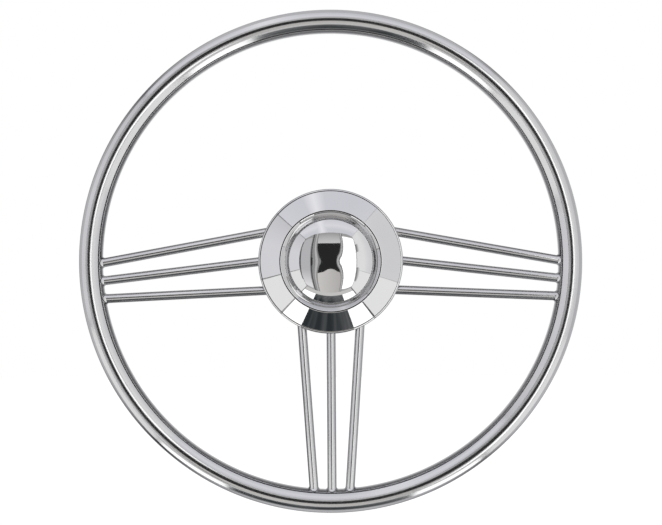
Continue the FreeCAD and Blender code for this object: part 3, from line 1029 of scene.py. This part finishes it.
# Each wall's turn, and the axes that run across and along its cards
CARD_WALLS = {
    "right": ((0, -QUARTER_TURN, 0), "z", "y"),
    "left": ((0, QUARTER_TURN, 0), "z", "y"),
    "top": ((math.pi, 0, 0), "x", "y"),
    "floor": ((0, 0, 0), "x", "y"),
    "front": ((-QUARTER_TURN, 0, 0), "x", "z"),
}
CARD_LIFT = 0.002

# Glow of the tent's cards
TOP_GLOW = (0.78, 0.78, 0.84)
TOP_STREAK_GLOW = (1.02, 1.02, 1.06)
LEFT_GLOW = (0.85, 0.85, 0.88)
RIGHT_GLOW = (0.81, 0.81, 0.83)
RIGHT_FRONT_GLOW = (0.96, 0.96, 0.96)
# Painted shade towards the tent's upper left corner
UPPER_CORNER_PAINTED_SHADE_GLOW = (0.72, 0.72, 0.75)
LOWER_GLOW = grey(1.0)
WHITE_GLOW = grey(1.6)
# The cloth's dark colour, and its painted-lit colour for lit folds, its right side and its front
CLOTH_DARK = (0.032, 0.038, 0.041)
CLOTH_PAINTED_LIGHT = (0.19, 0.195, 0.20)
WARM_GLOW = (0.75, 0.73, 0.705)
BELOW_RIGHT_GLOW = (0.57, 0.55, 0.535)
ABOVE_GLOW = (0.74, 0.735, 0.735)
ABOVE_TOP_GLOW = grey(0.4)
LAVENDER_GLOW = (0.59, 0.59, 0.61)
LEFT_PANEL_LOW_GLOW = (0.94, 0.93, 0.95)
OVER_PANEL_GLOW = grey(0.42)
UNDER_PANEL_GLOW = grey(0.5)
RIGHT_EDGE_GLOW = grey(0.45)
LEFT_EDGE_GLOW = grey(0.12)
FLOOR_FRONT_GLOW = (0.72, 0.71, 0.70)
NEAR_FLOOR_GLOW = (0.22, 0.222, 0.225)
OPENING_GLOW = grey(0.026)
# Painted shade: the dark band round the tent by the wheel, as rays from far off see it
PAINTED_SHADE_BAND_GLOW = (0.02, 0.02, 0.022)
CLOSE_GLOW = (0.62, 0.62, 0.64)
SPOT_GLOW = grey(0.04)
CORNER_GLOW = grey(0.12)

# Places on the tent's side walls and top
SIDE_SEAM_HEIGHT = -0.14
RIGHT_FRONT_START = -0.35
RIGHT_FRONT_END = -0.7
# Distance below the top where the painted corner shade begins
UPPER_CORNER_SHADE_FALL = 0.35
CORNER_LOW = -0.35
CORNER_HIGH = 0.40
CORNER_REACH = 0.08
NOTCH_REACH = 0.2
STREAK_PLACE = -0.134
STREAK_HALF_WIDTH = 0.09
HALF_WAY = -0.62
HALF_WAY_REACH = 0.3
HALF_WAY_SHARE = 0.55

# Places on the tent's floor, how the cloth there lies, and the painted light and shade of its folds
CLOTH_LEFT = -0.27
CLOTH_RIGHT = 0.20
CLOTH_FRONT = -0.84
CLOTH_DARK_END = -0.42
CLOTH_FAR_END = -0.30
CLOTH_SHARE = 0.5
FOLD_SCALE = (14.0, 5.0, 1.0)
FOLD_DETAIL = 4.0
FOLD_NOISE = (0.35, 0.75)
FOLD_PAINTED_SHADES = (-0.3, 0.4)

# Places on the tent's front wall
OPENING_LEFT = -0.198
OPENING_RIGHT = 0.151
OPENING_BOTTOM = -0.178
OPENING_TOP = 0.275
PANEL_BOTTOM = -0.5
PANEL_TOP = 0.42
PANEL_RIGHT_START = 0.193
PANEL_LEFT_END = -0.31
PANEL_EDGE = 0.02
PANEL_FADE_START = -0.12
PANEL_FADE_END = -0.42
SPOT_LEFT = -0.30
SPOT_RIGHT = -0.272
SPOT_HALF_HEIGHT = 0.06

# How far off a wall still counts as close, and where the painted shade on the walls behind the wheel fades
# to pale
CLOSE_REACH = 0.40
FAR_REACH = 0.60
BAND_BACK = 0.12
BEHIND_BRIGHT = 0.6
BEHIND_SHARE = 0.9

# Upright strips beside the opening: start, end and glow
FRONT_STRIPS = (
    (-0.31, -0.295, 0.25),
    (-0.295, -0.275, 0.09),
    (-0.275, -0.26, 0.4),
    (-0.26, -0.24, 0.32),
    (-0.24, -0.215, 0.6),
    (-0.215, -0.198, 0.3),
    (0.151, 0.157, 0.22),
    (0.157, 0.166, 0.42),
    (0.166, 0.181, 0.6),
    (0.181, 0.193, 0.16),
)

# Seams of the side walls: wall, the height that each follows, its reach below and above that, and glow
SIDE_SEAMS = (
    ("right", "top", -0.008, 0, 0.55),
    ("left", "top", -0.014, 0, 0.3),
    ("left", "side", -0.005, 0.005, 0.3),
    ("right", "side", -0.003, 0.003, 0.62),
    ("left", "bottom", 0, 0.03, 0.4),
    ("right", "bottom", 0, 0.032, 0.13),
)

# Dark notches at the front of the right wall: name, low end, high end and glow
NOTCHES = (
    ("upper", 0.15, 0.29, 0.08),
    ("lower", -0.36, -0.10, 0.12),
)


def glow_material(name, low_colour, high_colour, pattern):
    """A glow on a card's front between two colours by a pattern. Its back lets light through."""
    material, row = bare_material(name)
    glow = row.add("ShaderNodeEmission")
    if pattern is None:
        glow.inputs["Color"].default_value = (*low_colour, 1)
    else:
        place = row.add("ShaderNodeTexCoord").outputs["Object"]
        row.join(mixed_colour(row, pattern(row, place), low_colour, high_colour), glow.inputs["Color"])
    clear = row.add("ShaderNodeBsdfTransparent")
    side = row.add("ShaderNodeNewGeometry").outputs["Backfacing"]
    mix = row.add("ShaderNodeMixShader")
    output = row.add("ShaderNodeOutputMaterial")
    for source, target in zip((side, glow.outputs[0], clear.outputs[0]), mix.inputs):
        row.join(source, target)
    row.join(mix.outputs[0], output.inputs["Surface"])
    return material


def close_by(row, place):
    """One for what lies close to the wall, such as the rim's outer side, and nought far off, where the
    band's painted shade shows.
    """
    length = row.add("ShaderNodeLightPath").outputs["Ray Length"]
    return row.span(length, CLOSE_REACH, FAR_REACH, 1.0, 0.0)


def behind_wheel(row, place):
    """As close by, and for the rest a slow rise from nought at the band backwards, as the painted shade
    fades behind the wheel.
    """
    backwards = row.span(row.split(place)["Y"], BAND_BACK, BEHIND_BRIGHT, 0.0, BEHIND_SHARE)
    return row.math("MAXIMUM", close_by(row, place), backwards)


def top_streak(row, place):
    """A soft bright streak along the tent's top, and a softer glow half way along."""
    parts = row.split(place)
    across = row.math("ABSOLUTE", row.math("SUBTRACT", parts["X"], STREAK_PLACE))
    along = row.math("ABSOLUTE", row.math("SUBTRACT", parts["Y"], HALF_WAY))
    bright = row.span(across, STREAK_HALF_WIDTH, 0.0)
    softer = row.span(along, HALF_WAY_REACH, 0.0, 0.0, HALF_WAY_SHARE)
    return row.math("MAXIMUM", bright, softer)


def cloth_painted_light(row, place):
    """A dark cloth's glow with painted light and shade: painted shade and highlights on its folds, and
    painted light towards its right side and its front.
    """
    parts = row.split(place)
    squeezed = row.add("ShaderNodeMapping")
    squeezed.inputs["Scale"].default_value = FOLD_SCALE
    row.join(place, squeezed.inputs["Vector"])
    noise = row.noise(squeezed.outputs["Vector"], 1.0, FOLD_DETAIL)
    fold_painted_light_and_shade = row.span(noise, *FOLD_NOISE, *FOLD_PAINTED_SHADES)
    sideways = row.span(parts["X"], CLOTH_LEFT, CLOTH_RIGHT, 0.0, CLOTH_SHARE)
    forwards = row.span(parts["Y"], CLOTH_DARK_END, CLOTH_FRONT, 0.0, CLOTH_SHARE)
    return row.math("ADD", row.math("ADD", sideways, forwards), fold_painted_light_and_shade)


def slope(axis, start, end):
    """An even change between two places along an axis."""
    def pattern(row, place):
        return row.span(row.split(place)[axis], start, end)
    return pattern


def card(name, wall, wall_place, across, along, low_colour, high_colour=None, pattern=None):
    """A flat glowing card on a wall of the tent, facing the wheel. Its place is in its mesh."""
    turn, across_axis, along_axis = CARD_WALLS[wall]
    place = wall_place.copy()
    setattr(place, across_axis, sum(across) / 2)
    setattr(place, along_axis, sum(along) / 2)
    deselect_all()
    bpy.ops.mesh.primitive_plane_add(size=1, location=place, rotation=turn)
    piece = bpy.context.object
    piece.name = name
    piece.scale = (across[1] - across[0], along[1] - along[0], 1)
    bpy.ops.object.transform_apply(location=True, rotation=True, scale=True)
    piece.data.materials.append(glow_material(name + " glow", low_colour, high_colour, pattern))
    piece.visible_camera = False


def tent_edges(sizes):
    """The places of the tent's left, right, bottom and top."""
    return -sizes.tent_left, sizes.tent_right, -sizes.tent_bottom, sizes.tent_top


def tent_walls(sizes):
    """The tent's large walls: name, wall, across, along and colours."""
    left, right, bottom, top = tent_edges(sizes)
    upper = (SIDE_SEAM_HEIGHT, top)
    lower = (bottom, SIDE_SEAM_HEIGHT)
    cloth = (CLOTH_LEFT, CLOTH_RIGHT)
    front = -sizes.tent_front
    back = -sizes.band_start
    length = (front, back)
    paler = slope("Y", RIGHT_FRONT_START, RIGHT_FRONT_END)
    # The left wall's upper part gets darker towards the top: painted corner shade
    corner_painted_shade = slope("Z", top - UPPER_CORNER_SHADE_FALL, top)
    return [
        ("right upper", "right", upper, length, RIGHT_GLOW, RIGHT_FRONT_GLOW, paler),
        ("right lower", "right", lower, length, LOWER_GLOW),
        ("left upper", "left", upper, length, LEFT_GLOW, UPPER_CORNER_PAINTED_SHADE_GLOW, corner_painted_shade),
        ("left lower", "left", lower, length, LOWER_GLOW),
        ("top", "top", (left, right), length, TOP_GLOW, TOP_STREAK_GLOW, top_streak),
        ("floor left", "floor", (left, CLOTH_LEFT), (CLOTH_FRONT, back), WHITE_GLOW),
        ("floor right", "floor", (CLOTH_RIGHT, right), (CLOTH_FRONT, back), WHITE_GLOW),
        ("floor front", "floor", (left, right), (front, CLOTH_FRONT), FLOOR_FRONT_GLOW),
        # The cloth glows though it is no lamp: painted light and shade of its folds, right side and front
        ("floor cloth", "floor", cloth, (CLOTH_FRONT, CLOTH_FAR_END), CLOTH_DARK, CLOTH_PAINTED_LIGHT, cloth_painted_light),
        ("floor near", "floor", cloth, (CLOTH_FAR_END, back), NEAR_FLOOR_GLOW),
    ]


def front_wall(sizes):
    """The parts of the tent's front wall, round the opening: name, wall, across, upwards and colours."""
    left, right, bottom, top = tent_edges(sizes)
    height = (bottom, top)
    middle = (OPENING_LEFT, OPENING_RIGHT)
    right_side = (PANEL_RIGHT_START, right - PANEL_EDGE)
    left_side = (left + PANEL_EDGE, PANEL_LEFT_END)
    panel = (PANEL_BOTTOM, PANEL_TOP)
    over = (PANEL_TOP, top)
    under = (bottom, PANEL_BOTTOM)
    rightwards = slope("X", *middle)
    upwards = slope("Z", OPENING_TOP, top)
    downwards = slope("Z", PANEL_FADE_START, PANEL_FADE_END)
    rows = [
        ("opening", middle, (OPENING_BOTTOM, OPENING_TOP), OPENING_GLOW),
        ("below", middle, (bottom, OPENING_BOTTOM), WARM_GLOW, BELOW_RIGHT_GLOW, rightwards),
        ("above", middle, (OPENING_TOP, top), ABOVE_GLOW, ABOVE_TOP_GLOW, upwards),
        ("right panel", right_side, panel, WHITE_GLOW),
        ("right edge", (right - PANEL_EDGE, right), height, RIGHT_EDGE_GLOW),
        ("left panel", left_side, panel, LAVENDER_GLOW, LEFT_PANEL_LOW_GLOW, downwards),
        ("left edge", (left, left + PANEL_EDGE), height, LEFT_EDGE_GLOW),
        ("right above", right_side, over, OVER_PANEL_GLOW),
        ("right below", right_side, under, UNDER_PANEL_GLOW),
        ("left above", left_side, over, OVER_PANEL_GLOW),
        ("left below", left_side, under, UNDER_PANEL_GLOW),
    ]
    for index, (start, end, glow) in enumerate(FRONT_STRIPS):
        rows.append(("strip " + str(index + 1), (start, end), height, grey(glow)))
    return [(name, "front", *rest) for name, *rest in rows]


def tent_seams(sizes):
    """The thin darker seams of the side walls, and the dark corner, notches and spot near the front."""
    front = -sizes.tent_front
    length = (front, -sizes.band_start)
    notch = (front, front + NOTCH_REACH)
    heights = {"top": sizes.tent_top, "side": SIDE_SEAM_HEIGHT, "bottom": -sizes.tent_bottom}
    spot = (-SPOT_HALF_HEIGHT, SPOT_HALF_HEIGHT)
    rows = [("dark spot", "front", (SPOT_LEFT, SPOT_RIGHT), spot, SPOT_GLOW)]
    for wall, line, below, above, glow in SIDE_SEAMS:
        width = (heights[line] + below, heights[line] + above)
        rows.append(("seam " + wall + " " + line, wall, width, length, grey(glow)))
    corner = (front, front + CORNER_REACH)
    rows.append(("corner left", "left", (CORNER_LOW, CORNER_HIGH), corner, CORNER_GLOW))
    for name, low, high, glow in NOTCHES:
        colours = (grey(glow), RIGHT_FRONT_GLOW, slope("Y", *notch))
        rows.append(("notch " + name, "right", (low, high), notch, *colours))
    return rows


def rings_behind(sizes):
    """The band of painted shade round the tent by the wheel, and the walls behind it, where that painted
    shade fades to pale.
    """
    left, right, bottom, top = tent_edges(sizes)
    walls = {"right": (bottom, top), "left": (bottom, top), "top": (left, right), "floor": (left, right)}
    rings = (
        ("band", (-sizes.band_start, sizes.band_end), close_by),
        ("behind", (sizes.band_end, sizes.tent_back), behind_wheel),
    )
    rows = []
    for name, along, pattern in rings:
        for wall, across in walls.items():
            rows.append((name + " " + wall, wall, across, along, PAINTED_SHADE_BAND_GLOW, CLOSE_GLOW, pattern))
    return rows


def hang_cards(sizes):
    """Hangs all the tent's cards, the seams a little inside their walls."""
    walls = {
        "right": Vector((sizes.tent_right, 0, 0)),
        "left": Vector((-sizes.tent_left, 0, 0)),
        "top": Vector((0, 0, sizes.tent_top)),
        "floor": Vector((0, 0, -sizes.tent_bottom)),
        "front": Vector((0, -sizes.tent_front, 0)),
    }
    for name, wall, *rest in tent_walls(sizes) + front_wall(sizes) + rings_behind(sizes):
        card("tent " + name, wall, walls[wall], *rest)
    for name, wall, *rest in tent_seams(sizes):
        inwards = walls[wall] - walls[wall].normalized() * CARD_LIFT
        card("tent " + name, wall, inwards, *rest)


def pale_world():
    """White where the camera, glossy and clear surfaces look, a little lower as light."""
    world = bpy.data.worlds.new("Pale Studio")
    world.use_nodes = True
    world.node_tree.nodes.clear()
    row = NodeRow(world.node_tree)
    background = row.add("ShaderNodeBackground")
    output = row.add("ShaderNodeOutputWorld")
    strength = row.span(seen_directly(row), 0.0, 1.0, AROUND_LIGHT, 1.0)
    row.join(strength, background.inputs["Strength"])
    background.inputs["Color"].default_value = (1, 1, 1, 1)
    row.join(background.outputs[0], output.inputs["Surface"])
    bpy.context.scene.world = world


def seen_directly(row):
    """One for camera, glossy and transmission rays, and nought for the others."""
    rays = row.add("ShaderNodeLightPath")
    seen = row.math("MAXIMUM", rays.outputs["Is Camera Ray"], rays.outputs["Is Glossy Ray"])
    return row.math("MAXIMUM", seen, rays.outputs["Is Transmission Ray"])


def pale_floor(height):
    """A wide pale floor that keeps the wheel's shadow."""
    deselect_all()
    bpy.ops.mesh.primitive_plane_add(size=FLOOR_WIDTH, location=(0, 0, height))
    floor = bpy.context.object
    floor.name = "studio floor"
    material = bpy.data.materials.new("Pale Floor")
    material.use_nodes = True
    row = NodeRow(material.node_tree)
    surface = material.node_tree.nodes["Principled BSDF"]
    surface.inputs["Base Color"].default_value = (*grey(FLOOR_GREY), 1)
    surface.inputs["Roughness"].default_value = FLOOR_ROUGHNESS
    surface.inputs["Emission Color"].default_value = (1, 1, 1, 1)
    glow = row.math("MULTIPLY", seen_directly(row), FLOOR_GLOW)
    row.join(glow, surface.inputs["Emission Strength"])
    floor.data.materials.append(material)


class WHEEL_OT_studio(bpy.types.Operator):
    """Sets up the floor, the light tent, the world and the camera"""
    bl_idname = "steering_wheel.studio"
    bl_label = "Studio"

    def execute(self, context):
        sizes = context.scene.wheel_studio
        context.scene.view_settings.view_transform = "Standard"
        pale_world()
        pale_floor(-sizes.tent_bottom - FLOOR_BELOW_TENT)
        hang_cards(sizes)
        rim_forward = rim_section(context.scene.wheel_rim)[4]
        bpy.ops.object.camera_add(
            location=(0, -rim_forward - sizes.camera_distance, 0),
            rotation=(QUARTER_TURN, CAMERA_ROLL, 0),
        )
        camera = context.object
        camera.name = "camera"
        camera.data.sensor_width = SENSOR_WIDTH
        camera.data.lens = sizes.focal_pixels * SENSOR_WIDTH / PHOTO_WIDTH
        camera.data.shift_x = AXIS_SHIFT_X
        camera.data.shift_y = AXIS_SHIFT_Y
        context.scene.camera = camera
        return {"FINISHED"}


class WHEEL_PT_panel(bpy.types.Panel):
    """Lists the wheel's groups in the sidebar"""
    bl_idname = "WHEEL_PT_panel"
    bl_label = "Boat Steering Wheel"
    bl_space_type = "VIEW_3D"
    bl_region_type = "UI"
    bl_category = "Steering Wheel"

    def draw(self, context):
        for settings, operators in PANEL_ROWS:
            box = self.layout.box()
            for operator in operators:
                box.operator(operator)
            group = getattr(context.scene, settings)
            for key in group.bl_rna.properties.keys():
                if key not in ("rna_type", "name"):
                    box.prop(group, key)


PANEL_ROWS = (
    ("wheel_rim", ("steering_wheel.rim",)),
    ("wheel_spokes", ("steering_wheel.spokes",)),
    ("wheel_cover", ("steering_wheel.cover",)),
    ("wheel_cap", ("steering_wheel.cap",)),
    ("wheel_steel", ("steering_wheel.hub",)),
    ("wheel_studio", ("steering_wheel.studio",)),
)
SETTINGS = {
    "wheel_rim": RimSizes,
    "wheel_spokes": SpokeSizes,
    "wheel_cover": CoverSizes,
    "wheel_cap": CapSizes,
    "wheel_steel": SteelColours,
    "wheel_studio": StudioSizes,
}
OPERATORS = (
    WHEEL_OT_rim,
    WHEEL_OT_spokes,
    WHEEL_OT_cover,
    WHEEL_OT_cap,
    WHEEL_OT_hub,
    WHEEL_OT_studio,
)


def register():
    for kind in (*SETTINGS.values(), *OPERATORS, WHEEL_PT_panel):
        bpy.utils.register_class(kind)
    for name, kind in SETTINGS.items():
        setattr(bpy.types.Scene, name, PointerProperty(type=kind))


def unregister():
    for name in SETTINGS:
        delattr(bpy.types.Scene, name)
    for kind in reversed((*SETTINGS.values(), *OPERATORS, WHEEL_PT_panel)):
        bpy.utils.unregister_class(kind)


def main():
    register()
    GROUPS.update(groups_in_use())
    bpy.ops.steering_wheel.rim()
    bpy.ops.steering_wheel.spokes()
    bpy.ops.steering_wheel.cover()
    bpy.ops.steering_wheel.cap()
    bpy.ops.steering_wheel.hub()
    bpy.ops.steering_wheel.studio()


if __name__ == "__main__":
    main()
